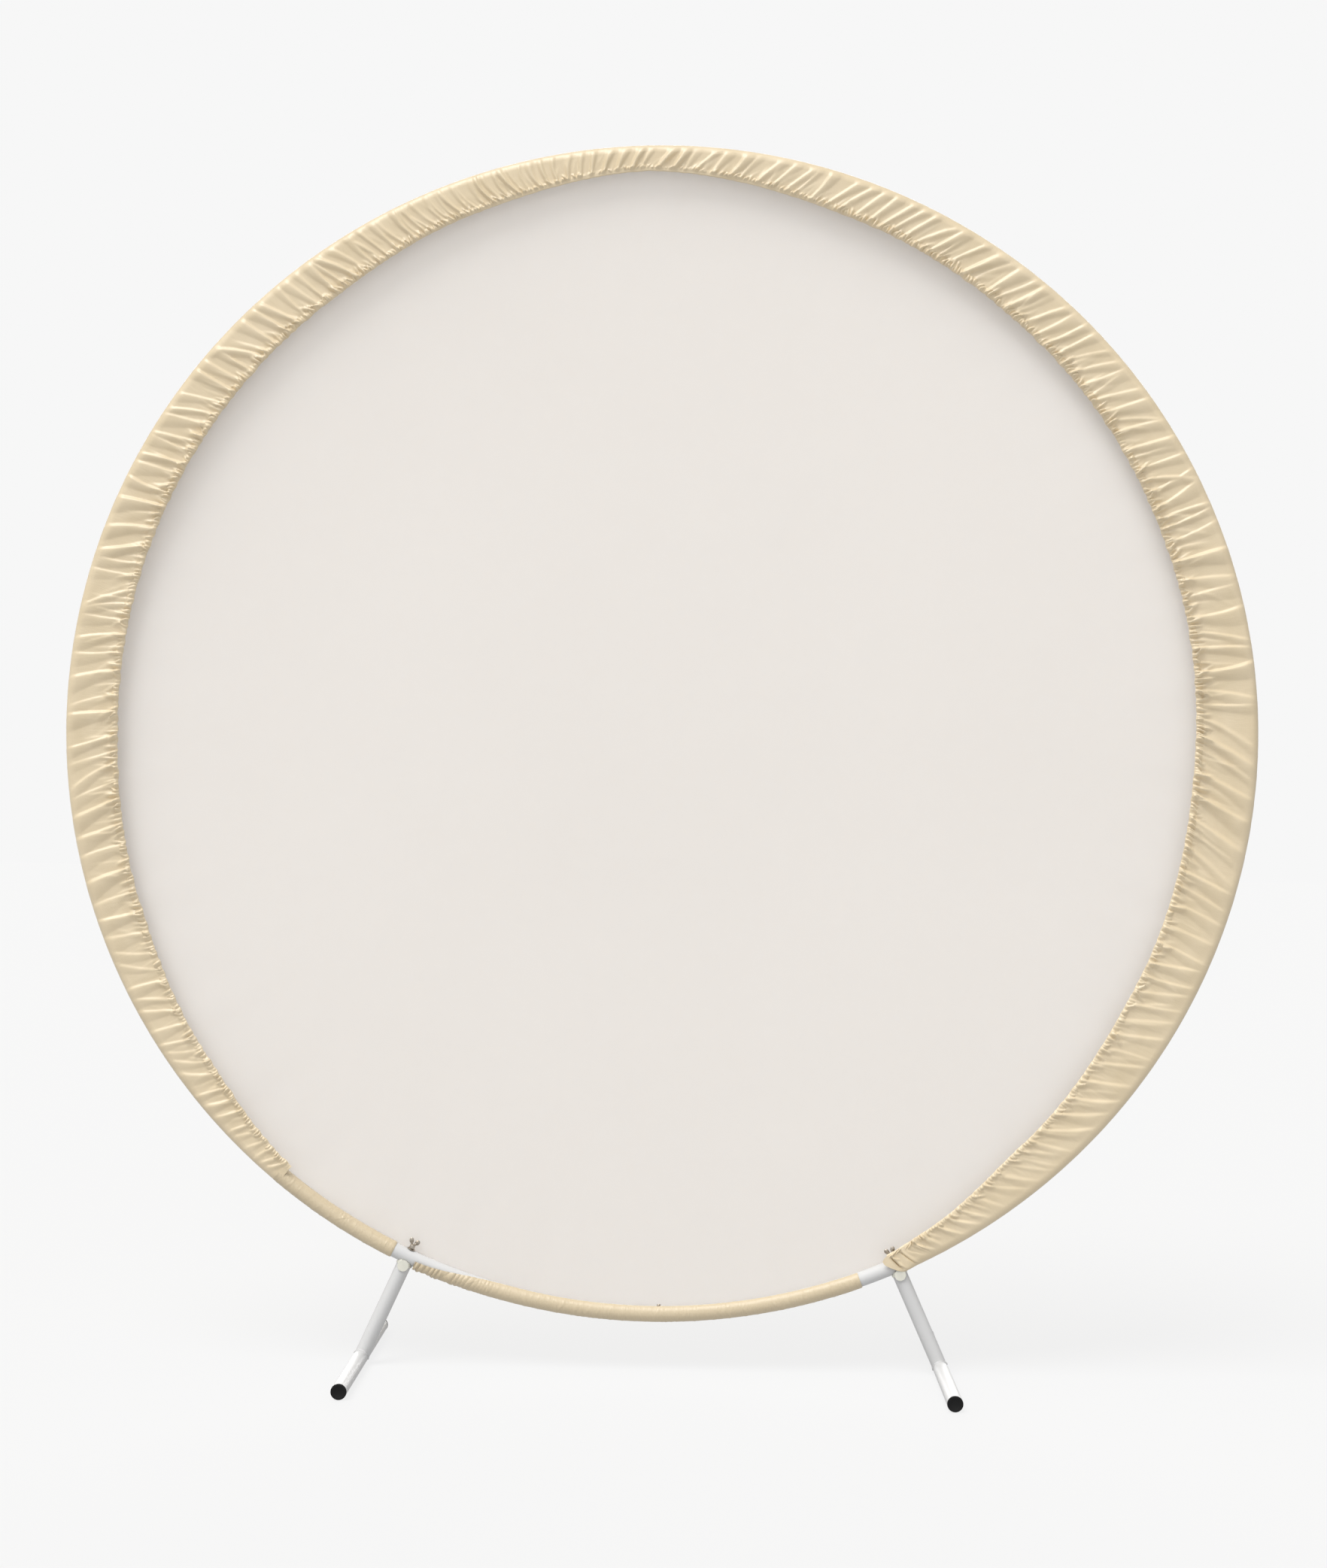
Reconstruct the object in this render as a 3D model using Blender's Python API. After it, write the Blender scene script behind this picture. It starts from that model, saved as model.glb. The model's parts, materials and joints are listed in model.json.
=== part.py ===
"""Round backdrop stand: a tube ring on two T-shaped feet, with a fitted fabric cover.

Metres, +Z up. The ring stands in the XZ plane and the cover's front panel faces +Y. The back
side, -Y, shows the panel's reverse and the gathered band that folds round the tube. The origin is
on the floor under the middle of the ring. "left" is -X.

A place on the ring is given by its ring angle: 0 at the bottom, 90 degrees at +X, 180 at the top.
"""

import math

import bmesh
import bpy
from mathutils import Matrix, Vector

MM = 0.001
GAP = 0.3 * MM  # clearance between pieces that touch on the real stand

# Ring tube. The ring sags a little under its own weight, so it is wider than it is tall.
TUBE_RADIUS = 12.5 * MM
TUBE_WALL = 1.0 * MM
RING_HALF_WIDTH = 0.992
RING_HALF_HEIGHT = 0.979
SECTION_COUNT = 8
SECTION_ANGLE = 360 / SECTION_COUNT
STATION_ANGLE = 5.0
TUBE_SIDES = 12

# Joints between the ring's sections
SPIGOT_RADIUS = TUBE_RADIUS - TUBE_WALL - GAP
SPIGOT_WALL = 1.2 * MM
SPIGOT_HALF_LENGTH = 35 * MM
BUTTON_OFFSET = 14 * MM  # from the joint's plane, along the tube
BUTTON_RADIUS = 3.0 * MM
BUTTON_STANDS_OUT = 2.6 * MM
BUTTON_FLANGE_RADIUS = 4.2 * MM
BUTTON_FLANGE = 1.0 * MM
BUTTON_HOLE_RADIUS = BUTTON_RADIUS + GAP
SPRING_WIDTH = 5.0 * MM
SPRING_THICKNESS = 0.5 * MM
SPRING_FREE_END = 3.0 * MM  # the leaf's free end stays below a pressed button

# Feet
CLAMP_ANGLE = 24.5
LEG_REACH = 0.1866  # from the ring tube's centreline to the floor tube's axis
FLOOR_TUBE_LENGTH = 0.496
FLOOR_TUBE_WALL = 1.2 * MM
CAP_RADIUS = 12.8 * MM
CAP_THICKNESS = 4.0 * MM
CAP_PLUG_LENGTH = 14 * MM
CAP_PAD_WIDTH = 12 * MM
FLOOR_AXIS_HEIGHT = 13.4 * MM  # the caps' pads stand this far below the floor tube's axis
LEG_WALL = 1.0 * MM
LEG_TOP = 16.0 * MM  # all the heights at a clamp are measured outwards from the ring's centreline
SADDLE_RADIUS = 13.8 * MM
SADDLE_TOP = 7.0 * MM
SADDLE_COLLAR_END = 21 * MM
SADDLE_CHEEK_RADIUS = 9.5 * MM
SADDLE_CHEEK_CENTRE = 15 * MM
SADDLE_CHEEK = 1.8 * MM
BOLT_RADIUS = 3.0 * MM
BOLT_HOLE_RADIUS = BOLT_RADIUS + GAP
BOLT_END = 36 * MM
PLUG_START = 22 * MM
PLUG_END = 42 * MM
WASHER_RADIUS = 7.0 * MM
WASHER_THICKNESS = 1.2 * MM
WING_HUB_RADIUS = 5.0 * MM
WING_HUB_HEIGHT = 7.0 * MM
WING_THICKNESS = 2.4 * MM

# Cover. The band's width is measured from the outline of the cover to the hem.
CLOTH = 1.2 * MM
CLOTH_INNER = TUBE_RADIUS + GAP
CLOTH_OUTER = CLOTH_INNER + CLOTH
BAND_START = 28.0
BAND_END = 321.0
BAND_PARTS = (("right", BAND_START, 120), ("top", 120, 230), ("left", 230, BAND_END))
SLEEVE_GAP_ANGLE = 0.05
SLEEVE_END = 334.0
BOTTOM_SLEEVE = (-23.6, 20.7)
SLEEVE_RISE_ANGLE = 9
BAND_WIDTHS = (
    (28, 46), (41, 76), (61, 97), (85, 107), (109, 98), (135, 85), (160, 70), (182, 45),
    (200, 64), (217, 80), (250, 86), (271, 89), (290, 80), (307, 62), (321, 38),
)
HEM_DEPTH = 7.0 * MM
HEM_SLOT = 1.5 * MM
ELASTIC_WIDTH = 5.0 * MM
ELASTIC_THICKNESS = 0.9 * MM


def clear_scene():
    for item in list(bpy.data.objects):
        bpy.data.objects.remove(item, do_unlink=True)


def material(name, colour, roughness, metallic=0.0):
    made = bpy.data.materials.new(name)
    made.use_nodes = True
    shader = made.node_tree.nodes["Principled BSDF"]
    shader.inputs["Base Color"].default_value = (*colour, 1.0)
    shader.inputs["Roughness"].default_value = roughness
    shader.inputs["Metallic"].default_value = metallic
    made.diffuse_color = (*colour, 1.0)
    return made


def ring_normal(angle):
    """Outward unit vector at a ring angle, in the XZ plane."""
    a = math.radians(angle)
    return Vector((RING_HALF_HEIGHT * math.sin(a), 0, -RING_HALF_WIDTH * math.cos(a))).normalized()


def ring_centre_height():
    clamp = math.radians(CLAMP_ANGLE)
    leg_drop = -ring_normal(CLAMP_ANGLE).z * LEG_REACH
    return FLOOR_AXIS_HEIGHT + RING_HALF_HEIGHT * math.cos(clamp) + leg_drop


RING_CENTRE_HEIGHT = ring_centre_height()


def ring_point(angle):
    a = math.radians(angle)
    return Vector((RING_HALF_WIDTH * math.sin(a), 0, RING_CENTRE_HEIGHT - RING_HALF_HEIGHT * math.cos(a)))


def ring_frame(angle):
    """Frame on the tube's centreline: X along the tube, Y as the world's, Z to the ring's middle."""
    inward = -ring_normal(angle)
    along = Vector((0, 1, 0)).cross(inward)
    turn = Matrix((along, Vector((0, 1, 0)), inward)).transposed()
    return Matrix.Translation(ring_point(angle)) @ turn.to_4x4()


def station_angles():
    """Ring angles where the tube's straight stretches meet; each clamp takes the nearest one's place."""
    count = round(360 / STATION_ANGLE)
    angles = [STATION_ANGLE * k for k in range(-count, count + 1)]
    for clamp in (-CLAMP_ANGLE, CLAMP_ANGLE, 360 - CLAMP_ANGLE):
        nearest = min(angles, key=lambda a: abs(a - clamp))
        angles[angles.index(nearest)] = clamp
    return angles


STATIONS = station_angles()


def stations(start, end):
    """Ring angles from start to end, with every station between them."""
    return [start] + [a for a in STATIONS if start < a < end] + [end]


def tube_frame(angle):
    """Like ring_frame, with a place between two stations put on the straight stretch there."""
    if angle in STATIONS:
        return ring_frame(angle)
    before = max(a for a in STATIONS if a < angle)
    after = min(a for a in STATIONS if a > angle)
    start, end = ring_point(before), ring_point(after)
    along = (end - start).normalized()
    turn = Matrix((along, Vector((0, 1, 0)), along.cross(Vector((0, 1, 0))))).transposed()
    place = start.lerp(end, (angle - before) / (after - before))
    return Matrix.Translation(place) @ turn.to_4x4()


def angle_past(joint, distance):
    """Ring angle at a distance along the tube from a joint."""
    way = math.copysign(STATION_ANGLE, distance)
    stretch = (ring_point(joint + way) - ring_point(joint)).length
    return joint + way * abs(distance) / stretch


def add_object(name, mesh, look):
    mesh.materials.append(look)
    made = bpy.data.objects.new(name, mesh)
    bpy.context.scene.collection.objects.link(made)
    return made


def loft(name, sections, look, smooth=True):
    """A closed solid through a row of closed outlines that have the same number of points."""
    bm = bmesh.new()
    rings = [[bm.verts.new(point) for point in section] for section in sections]
    count = len(rings[0])
    for near, far in zip(rings, rings[1:]):
        for i in range(count):
            j = (i + 1) % count
            bm.faces.new((near[i], near[j], far[j], far[i]))
    bm.faces.new(rings[0])
    bm.faces.new(list(reversed(rings[-1])))
    return finish_mesh(name, bm, look, smooth)


def finish_mesh(name, bm, look, smooth=True):
    bmesh.ops.recalc_face_normals(bm, faces=bm.faces)
    mesh = bpy.data.meshes.new(name)
    bm.to_mesh(mesh)
    bm.free()
    if smooth:
        mesh.shade_smooth()
        mesh.set_sharp_from_angle(angle=math.radians(40))
    return add_object(name, mesh, look)


def circle(frame, radius, sides):
    """Points of a circle round the frame's X axis, from its Z axis on."""
    turn = 2 * math.pi / sides
    return [
        frame @ Vector((0, radius * math.sin(turn * i), radius * math.cos(turn * i)))
        for i in range(sides)
    ]


def pipe(name, frames, radius, wall, look, sides=TUBE_SIDES):
    """A hollow tube through frames whose X axes run along it, open at both ends."""
    bm = bmesh.new()
    skins = []
    for size in (radius, radius - wall):
        skins.append([[bm.verts.new(p) for p in circle(f, size, sides)] for f in frames])
    for skin in skins:
        for near, far in zip(skin, skin[1:]):
            for i in range(sides):
                j = (i + 1) % sides
                bm.faces.new((near[i], near[j], far[j], far[i]))
    for end in (0, -1):
        outer, inner = skins[0][end], skins[1][end]
        for i in range(sides):
            j = (i + 1) % sides
            bm.faces.new((outer[i], outer[j], inner[j], inner[i]))
    return finish_mesh(name, bm, look)


def rod(name, frame, radius, start, end, look, sides=16):
    """A solid cylinder along the frame's X axis."""
    ends = [frame @ Matrix.Translation((x, 0, 0)) for x in (start, end)]
    return loft(name, [circle(f, radius, sides) for f in ends], look)


def plate(name, frame, outline, half_thickness, look):
    """A flat plate in the frame's XZ plane, from an outline of (x, z) points."""
    faces = [[frame @ Vector((x, y, z)) for x, z in outline] for y in (-half_thickness, half_thickness)]
    return loft(name, faces, look, smooth=False)


def arc(centre_x, centre_z, radius, start, end, steps):
    """(x, z) points of an arc, with its angles in degrees from X towards Z."""
    turn = (end - start) / steps
    angles = [math.radians(start + turn * i) for i in range(steps + 1)]
    return [(centre_x + radius * math.cos(a), centre_z + radius * math.sin(a)) for a in angles]


def combine(piece, other, operation):
    """Cuts other out of piece, or joins it on, and keeps the result as piece's own mesh."""
    change = piece.modifiers.new(operation.lower(), "BOOLEAN")
    change.operation = operation
    change.object = other
    bpy.context.view_layer.update()
    evaluated = piece.evaluated_get(bpy.context.evaluated_depsgraph_get())
    result = bpy.data.meshes.new_from_object(evaluated)
    piece.modifiers.remove(change)
    piece.data = result
    bpy.data.objects.remove(other, do_unlink=True)
    return piece


def cut(piece, cutter):
    return combine(piece, cutter, "DIFFERENCE")


def join(piece, other):
    return combine(piece, other, "UNION")


def cross_frame(frame):
    """The same place with its X axis turned to where the frame's Z axis points."""
    return frame @ Matrix.Rotation(math.radians(-90), 4, "Y")


# Ring -----------------------------------------------------------------------------------------


def build_ring_section(number, looks):
    start = SECTION_ANGLE * (number - 1)
    end = start + SECTION_ANGLE
    frames = [ring_frame(a) for a in stations(start, end)]
    half_gap = Matrix.Translation((GAP / 2, 0, 0))
    frames[0] = frames[0] @ half_gap
    frames[-1] = frames[-1] @ half_gap.inverted()
    section = pipe(f"ring_section_{number}", frames, TUBE_RADIUS, TUBE_WALL, looks["white"])
    across = cross_frame(tube_frame(angle_past(start, BUTTON_OFFSET)))
    cut(section, rod("cutter", across, BUTTON_HOLE_RADIUS, 5 * MM, 20 * MM, looks["white"], 12))
    for clamp in (CLAMP_ANGLE, 360 - CLAMP_ANGLE):
        if start < clamp < end:
            across = cross_frame(ring_frame(clamp))
            reach = 2 * TUBE_RADIUS
            cut(section, rod("cutter", across, BOLT_HOLE_RADIUS, -reach, reach, looks["white"], 12))


def build_ring_joint(number, looks):
    joint = SECTION_ANGLE * (number - 1)
    reach = (-SPIGOT_HALF_LENGTH, 0, SPIGOT_HALF_LENGTH)
    frames = [tube_frame(angle_past(joint, distance) if distance else joint) for distance in reach]
    spigot = pipe(f"spigot_{number}", frames, SPIGOT_RADIUS, SPIGOT_WALL, looks["steel"])
    at_button = tube_frame(angle_past(joint, BUTTON_OFFSET))
    across = cross_frame(at_button)
    cut(spigot, rod("cutter", across, BUTTON_HOLE_RADIUS, 5 * MM, 20 * MM, looks["steel"], 12))

    inside = SPIGOT_RADIUS - SPIGOT_WALL
    flange_top = inside * math.cos(math.pi / TUBE_SIDES) - 1.2 * MM
    tip = TUBE_RADIUS + BUTTON_STANDS_OUT
    profile = (
        (BUTTON_FLANGE_RADIUS, flange_top - BUTTON_FLANGE),
        (BUTTON_FLANGE_RADIUS, flange_top),
        (BUTTON_RADIUS, flange_top),
        (BUTTON_RADIUS, tip - 1.2 * MM),
        (0.55 * BUTTON_RADIUS, tip),
    )
    rings = [circle(across @ Matrix.Translation((x, 0, 0)), r, 12) for r, x in profile]
    loft(f"lock_button_{number}", rings, looks["steel"])

    wall_side = -(inside * math.cos(math.pi / TUBE_SIDES) - 2 * GAP)
    bottom = [(-16 * MM, wall_side), (8 * MM, wall_side), (11 * MM, wall_side + 1.2 * MM)]
    back = [(-5 * MM, SPRING_FREE_END), (-5.5 * MM, SPRING_FREE_END - SPRING_THICKNESS)]
    inner_bend = [(10 * MM, wall_side + 1.2 * MM), (8 * MM, wall_side + SPRING_THICKNESS)]
    outline = bottom + back + inner_bend + [(-16 * MM, wall_side + SPRING_THICKNESS)]
    plate(f"button_spring_{number}", at_button, outline, SPRING_WIDTH / 2, looks["steel"])


# Feet -----------------------------------------------------------------------------------------


def clamp_frame(side):
    """Frame at a clamp: X outwards along the leg, Z along the ring, Y as the world's."""
    frame = ring_frame(side * CLAMP_ANGLE)
    return frame @ Matrix.Rotation(math.radians(90), 4, "Y")


def floor_tube_frame(side):
    """Frame at the middle of a floor tube, X along it towards the front."""
    centre = clamp_frame(side) @ Vector((LEG_REACH, 0, 0))
    turn = Matrix(((0, 1, 0), (-1, 0, 0), (0, 0, 1))).transposed()
    return Matrix.Translation(centre) @ turn.to_4x4()


def build_leg(side, name, looks):
    frame = clamp_frame(side)
    ends = [frame @ Matrix.Translation((x, 0, 0)) for x in (LEG_TOP, LEG_REACH)]
    leg = pipe(f"{name}_leg_tube", ends, TUBE_RADIUS, LEG_WALL, looks["white"], 24)
    floor = floor_tube_frame(side)
    reach = 2 * TUBE_RADIUS
    cut(leg, rod("cutter", floor, TUBE_RADIUS + GAP, -reach, reach, looks["white"], 32))

    plug = [frame @ Matrix.Translation((x, 0, 0)) for x in (PLUG_START, PLUG_END)]
    inside = (TUBE_RADIUS - LEG_WALL) * math.cos(math.pi / 24) - GAP
    pipe(f"{name}_leg_plug", plug, inside, inside - BOLT_HOLE_RADIUS, looks["steel"], 16)


def cap_outline(radius):
    """(x, z) points of a cap: a circle with a flat pad below."""
    half_pad = CAP_PAD_WIDTH / 2
    pad_top = math.degrees(math.acos(half_pad / radius))
    round_part = arc(0, 0, radius, -pad_top, 180 + pad_top, 20)
    return round_part + [(-half_pad, -FLOOR_AXIS_HEIGHT), (half_pad, -FLOOR_AXIS_HEIGHT)]


def build_floor_tube(side, name, looks):
    frame = floor_tube_frame(side)
    half = FLOOR_TUBE_LENGTH / 2
    ends = [frame @ Matrix.Translation((x, 0, 0)) for x in (-half, half)]
    pipe(f"{name}_floor_tube", ends, TUBE_RADIUS, FLOOR_TUBE_WALL, looks["white"], 24)
    for end, way in (("back", -1), ("front", 1)):
        inner_face = half + GAP
        outer_face = inner_face + CAP_THICKNESS
        rounding = 1.0 * MM
        steps = ((inner_face, 0), (outer_face - rounding, 0), (outer_face, rounding))
        sections = []
        for x, smaller in steps:
            outline = cap_outline(CAP_RADIUS - smaller)
            sections.append([frame @ Vector((way * x, y, z)) for y, z in outline])
        cap = loft(f"{name}_{end}_cap", sections, looks["black"])
        plug_radius = TUBE_RADIUS - FLOOR_TUBE_WALL - 2 * GAP
        start, stop = sorted((way * (half - CAP_PLUG_LENGTH), way * (inner_face + MM)))
        join(cap, rod("plug", frame, plug_radius, start, stop, looks["black"], 16))


def build_saddle(side, name, looks):
    """Plastic seat between ring and leg: a block hollowed for the ring, a collar and two cheeks."""
    frame = clamp_frame(side)
    look = looks["ivory"]
    saddle = rod(f"{name}_saddle", frame, SADDLE_RADIUS, SADDLE_TOP, LEG_TOP - GAP, look, 20)
    collar_radius = (TUBE_RADIUS - LEG_WALL) * math.cos(math.pi / 24) - GAP
    join(saddle, rod("collar", frame, collar_radius, LEG_TOP - MM, SADDLE_COLLAR_END, look, 16))
    cut(saddle, rod("bore", frame, BOLT_HOLE_RADIUS, 0, PLUG_END, look, 12))
    cheek = arc(SADDLE_CHEEK_CENTRE, 0, SADDLE_CHEEK_RADIUS, 0, 342, 19)
    middle = TUBE_RADIUS + 3 * GAP + SADDLE_CHEEK / 2
    for way in (-1, 1):
        beside = frame @ Matrix.Translation((0, way * middle, 0))
        join(saddle, plate("cheek", beside, cheek, SADDLE_CHEEK / 2, look))
    across = ring_frame(side * CLAMP_ANGLE)
    reach = 2 * SADDLE_RADIUS
    cut(saddle, rod("seat", across, TUBE_RADIUS + 2 * GAP, -reach, reach, look, 24))


def wing_outline():
    """(x, z) points of both wings of a wing bolt, in the plane of the ring."""
    right = [(-8, 3), (-19, 7.5), (-22.5, 10.5), (-22, 12.5), (-18, 12.8), (-9, 7), (-4.5, 4.2)]
    left = [(x, -z) for x, z in reversed(right)]
    base = -(TUBE_RADIUS + WASHER_THICKNESS + 3 * GAP)
    return [(base + MM * (x + 3.5), MM * z) for x, z in right + left]


def build_wing_bolt(side, name, looks):
    frame = clamp_frame(side)
    washer_top = -(TUBE_RADIUS + 2 * GAP + WASHER_THICKNESS)
    washer_base = washer_top + WASHER_THICKNESS
    washer = [frame @ Matrix.Translation((x, 0, 0)) for x in (washer_top, washer_base)]
    width = WASHER_RADIUS - BOLT_HOLE_RADIUS
    pipe(f"{name}_bolt_washer", washer, WASHER_RADIUS, width, looks["steel"], 20)

    hub_end = washer_top - GAP
    hub_start = hub_end - WING_HUB_HEIGHT
    look = looks["steel"]
    bolt = rod(f"{name}_wing_bolt", frame, WING_HUB_RADIUS, hub_start, hub_end, look, 16)
    join(bolt, rod("shank", frame, BOLT_RADIUS, hub_end - MM, BOLT_END, look, 12))
    join(bolt, plate("wings", frame, wing_outline(), WING_THICKNESS / 2, look))


# Cover ----------------------------------------------------------------------------------------


def band_width(angle):
    """Width of the rear band in metres, eased between the widths that set its shape."""
    for (a0, w0), (a1, w1) in zip(BAND_WIDTHS, BAND_WIDTHS[1:]):
        if angle <= a1:
            part = (angle - a0) / (a1 - a0)
            ease = part * part * (3 - 2 * part)
            return MM * (w0 + (w1 - w0) * (0.5 * part + 0.5 * ease))
    return MM * BAND_WIDTHS[-1][1]


def wrap_outline(end):
    """(y, z) points of cloth wrapped on the tube, by the angle from the front over the outside."""
    start = 2
    past_back = 4 if end > 182 else 1
    degrees = [start] + list(range(30, 181, 30))
    degrees += [180 + (end - 180) * k / past_back for k in range(1, past_back + 1)]
    angles = [math.radians(a) for a in degrees]
    outer = [(CLOTH_OUTER * math.cos(a), -CLOTH_OUTER * math.sin(a)) for a in angles]
    inner = [(CLOTH_INNER * math.cos(a), -CLOTH_INNER * math.sin(a)) for a in reversed(angles)]
    return outer + inner


def build_front_panel(looks):
    sections = []
    for y in (CLOTH_INNER, CLOTH_OUTER):
        points = [ring_point(a) for a in stations(0, 360)[:-1]]
        sections.append([Vector((p.x, y, p.z)) for p in points])
    loft("front_panel", sections, looks["reverse"])


def hem_outline(angle):
    """(y, z) points of the flat band and its hem, folded forward round the elastic."""
    edge = band_width(angle) - CLOTH_OUTER
    back, face, seam = -CLOTH_OUTER, -CLOTH_INNER, 2 * GAP
    fold_face = face + HEM_SLOT
    fold_back = fold_face + CLOTH
    fold_end = edge - HEM_DEPTH
    return (
        (back, seam), (back, edge), (fold_back, edge), (fold_back, fold_end),
        (fold_face, fold_end), (fold_face, edge - CLOTH), (face, edge - CLOTH), (face, seam),
    )


def elastic_outline(angle):
    """(y, z) points of the elastic tape inside the hem."""
    far = band_width(angle) - CLOTH_OUTER - CLOTH - GAP
    near = far - ELASTIC_WIDTH
    low = GAP - CLOTH_INNER
    high = low + ELASTIC_THICKNESS
    return ((low, near), (low, far), (high, far), (high, near))


def build_strip(name, angles, outline, look, clearance=0):
    """A strip that follows the ring; outline gives its (y, z) points at each ring angle.

    clearance moves the strip's first end along the tube, away from the strip before it.
    """
    sections = []
    for a in angles:
        along = clearance if a == angles[0] else 0
        frame = tube_frame(a)
        sections.append([frame @ Vector((along, y, z)) for y, z in outline(a)])
    loft(name, sections, look)


def lower_sleeve_end(angle):
    """The sleeve between the legs stops short of the lock button, and lower near the left leg."""
    part = min(1, (angle - BOTTOM_SLEEVE[0]) / SLEEVE_RISE_ANGLE)
    return 190 + 60 * part


def build_cover(looks):
    build_front_panel(looks)
    gold = looks["gold"]
    for name, first, last in BAND_PARTS:
        angles = stations(first, last)
        gap = GAP if first > BAND_START else 0
        build_strip(f"edge_strip_{name}", angles, lambda a: wrap_outline(181), gold, gap)
        build_strip(f"rear_band_{name}", angles, hem_outline, gold, gap)
    whole = stations(BAND_START, BAND_END)
    build_strip("hem_elastic", whole, elastic_outline, looks["elastic"])
    left = stations(BAND_END + SLEEVE_GAP_ANGLE, SLEEVE_END)
    build_strip("left_sleeve", left, lambda a: wrap_outline(290), gold)
    start, end = BOTTOM_SLEEVE
    rising = [start + k for k in range(SLEEVE_RISE_ANGLE)]
    bottom = sorted(set(rising + stations(start + SLEEVE_RISE_ANGLE, end) + [-20, -15]))
    build_strip("bottom_sleeve", bottom, lambda a: wrap_outline(lower_sleeve_end(a)), gold)


def build():
    clear_scene()
    looks = {
        "white": material("powder_coat", (0.86, 0.86, 0.85), 0.32),
        "steel": material("zinc_steel", (0.56, 0.53, 0.47), 0.30, 1.0),
        "black": material("black_plastic", (0.022, 0.022, 0.023), 0.5),
        "ivory": material("ivory_plastic", (0.72, 0.71, 0.62), 0.45),
        "gold": material("champagne_satin", (0.70, 0.58, 0.38), 0.45),
        "reverse": material("satin_reverse", (0.81, 0.77, 0.74), 0.8),
        "elastic": material("elastic", (0.80, 0.79, 0.75), 0.9),
    }
    for number in range(1, SECTION_COUNT + 1):
        build_ring_section(number, looks)
        build_ring_joint(number, looks)
    for side, name in ((-1, "left"), (1, "right")):
        build_leg(side, name, looks)
        build_floor_tube(side, name, looks)
        build_saddle(side, name, looks)
        build_wing_bolt(side, name, looks)
    build_cover(looks)


build()
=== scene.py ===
"""Round backdrop stand seen from its back: tube ring, T-shaped feet, gathered satin cover, light.

Metres, +Z up, the same frame as the CAD model. The ring stands in the XZ plane, the cover's front
panel faces +Y, and the gathered band folds round the tube to the back, -Y. A place on the ring is
given by its ring angle: 0 at the bottom, 90 degrees at +X, 180 at the top.
"""

import json
import math

import bpy
import numpy as np
from mathutils import Matrix, Vector


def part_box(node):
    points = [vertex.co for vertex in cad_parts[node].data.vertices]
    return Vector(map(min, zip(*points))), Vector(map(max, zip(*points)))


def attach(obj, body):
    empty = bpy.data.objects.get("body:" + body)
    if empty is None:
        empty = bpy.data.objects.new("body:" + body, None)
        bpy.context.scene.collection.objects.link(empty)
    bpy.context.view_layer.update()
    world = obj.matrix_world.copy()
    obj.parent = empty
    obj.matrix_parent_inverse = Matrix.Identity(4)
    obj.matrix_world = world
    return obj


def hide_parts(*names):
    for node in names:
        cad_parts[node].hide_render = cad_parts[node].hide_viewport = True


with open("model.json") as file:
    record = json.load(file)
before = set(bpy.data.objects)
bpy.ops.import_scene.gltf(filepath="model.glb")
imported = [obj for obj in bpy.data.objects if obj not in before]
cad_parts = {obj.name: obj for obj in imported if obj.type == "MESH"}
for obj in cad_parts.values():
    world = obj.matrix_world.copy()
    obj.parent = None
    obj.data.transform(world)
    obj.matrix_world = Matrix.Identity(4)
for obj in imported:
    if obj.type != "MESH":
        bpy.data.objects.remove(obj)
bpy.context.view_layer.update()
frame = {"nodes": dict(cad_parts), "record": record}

MM = 0.001

# Ring, from the frame
PANEL_LOW, PANEL_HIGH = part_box("front_panel")
HALF_WIDTH = PANEL_HIGH.x
HALF_HEIGHT = (PANEL_HIGH.z - PANEL_LOW.z) / 2
RING_HEIGHT = (PANEL_HIGH.z + PANEL_LOW.z) / 2
SECTION_COUNT = 8
SECTION_ANGLE = 360 / SECTION_COUNT
FLOOR_LOW, FLOOR_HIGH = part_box("right_floor_tube")
TUBE_RADIUS = (FLOOR_HIGH.x - FLOOR_LOW.x) / 2
GAP = 0.3 * MM
TUBE_WALL = 1.0 * MM
SMOOTH_ANGLE = math.radians(35)

# Feet, measured outwards from the ring's centreline along a leg
CLAMP_ANGLE = 24.5
LEG_TOP = 16 * MM
FLOOR_TUBE_WALL = 1.2 * MM
SADDLE_RADIUS = 13.8 * MM
SADDLE_TOP = 7 * MM
COLLAR_END = 21 * MM
CHEEK_CENTRE = 15 * MM
CHEEK_RADIUS = 9.5 * MM
CHEEK_THICKNESS = 1.8 * MM
BOLT_RADIUS = 3 * MM
BOLT_END = 36 * MM
WASHER_RADIUS = 7 * MM
WASHER_THICKNESS = 1.2 * MM
HUB_RADIUS = 5 * MM
HUB_HEIGHT = 7 * MM
THREAD_PITCH = 1.0 * MM
THREAD_DEPTH = 0.5 * MM
WING_LEAN = 29
WING_LOBES = ((6, (2.3, 2.0, 5.4)), (10.8, (3.9, 1.7, 5.0)))  # distance and half sizes, mm
WELD_RADIUS = 1.3 * MM
WELD_RIPPLES = 34

# Cover: the cloth lies on the tube at CLOTH_RADIUS from its axis
CLOTH_RADIUS = 13.4 * MM
PANEL_CLOTH = 0.6 * MM
WEAVE_PITCH = 0.35 * MM
BAND_START = 23.3
BAND_END = 321.0
CHEEK_FACE = 15.4 * MM
HEM_DEPTH = 11 * MM
LEFT_SLEEVE_END = 334.0
BOTTOM_SLEEVE = (-23.6, 20.7)
SLEEVE_RISE = 9.5
# The tables below give values at ring angles. Band widths are in mm, from outline to hem
BAND_WIDTHS = (
    (23.3, 38), (25.6, 42), (28, 46), (41, 76), (61, 97), (85, 107), (109, 98), (135, 85),
    (160, 70), (182, 45), (200, 64), (217, 80), (250, 86), (271, 89), (290, 80), (307, 62),
    (321, 38),
)
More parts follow.
